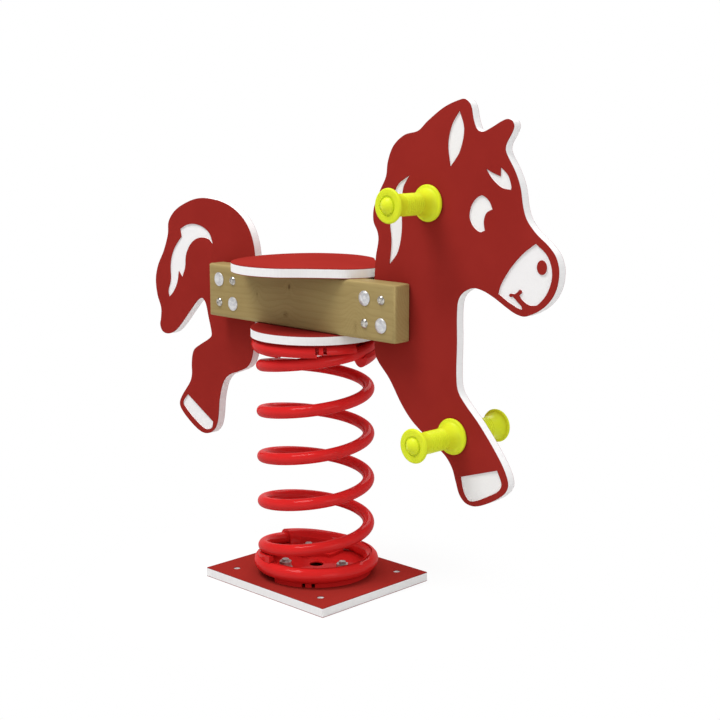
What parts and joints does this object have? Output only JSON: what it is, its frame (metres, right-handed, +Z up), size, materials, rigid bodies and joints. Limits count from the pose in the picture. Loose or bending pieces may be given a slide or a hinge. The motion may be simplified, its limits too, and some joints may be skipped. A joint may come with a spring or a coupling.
{
  "type": "spring rider",
  "caption": "Horse-shaped spring rider: sheet-plastic head and tail panels between timber beams, with seat, grips and pegs, rocking on one coil spring over an anchored base plate.",
  "frame": {"origin": "under the base plate, on the spring axis", "axes": "+X to the horse's nose, +Y to its left, +Z up"},
  "size_m": [0.9311, 0.2526, 0.8159],
  "materials": {
    "sheet": "fine matt, pale core at edges and routed pockets",
    "red_steel": "gloss powder coat",
    "timber": "planed pine, greenish impregnation",
    "zinc": "zinc plated",
    "lime": "moulded"
  },
  "bodies": {
    "base": {"base_plate": "sheet", "lower_band": "red_steel", "lower_dish": "red_steel", "lower_claw": "red_steel", "lower_bolts": "zinc", "lower_nuts": "zinc", "gap_block": "red_steel"},
    "spring": {"spring": "red_steel"},
    "rider": {"support_disc": "sheet", "seat_plate": "sheet", "front_panel": "sheet", "rear_panel": "sheet", "upper_dish": "red_steel", "upper_claw": "red_steel", "upper_bolts": "zinc", "upper_nuts": "zinc", "disc_screws": "zinc", "seat_angles": "zinc", "seat_screws": "zinc", "panel_bolts": "zinc", "panel_bolt_nuts": "zinc", "right_screws": "zinc", "left_screws": "zinc", "hand_grip_rod": "zinc", "foot_peg_rod": "zinc", "right_beam": "timber", "left_beam": "timber", "right_hand_grip": "lime", "left_hand_grip": "lime", "right_foot_peg": "lime", "left_foot_peg": "lime", "grip_caps": "lime"}
  },
  "joints": [
    {"name": "fore_aft_rock", "type": "hinge", "parent": "base", "child": "spring", "pos_m": [0, 0, 0.1627], "axis": [0, 1, 0], "range_deg": [-20, 20], "stiffness_Nm_per_rad": 500, "deforming": ["spring"]},
    {"name": "side_rock", "type": "hinge", "parent": "spring", "child": "rider", "pos_m": [0, 0, 0.2883], "axis": [1, 0, 0], "range_deg": [-15, 15], "stiffness_Nm_per_rad": 500, "deforming": ["spring"]}
  ]
}
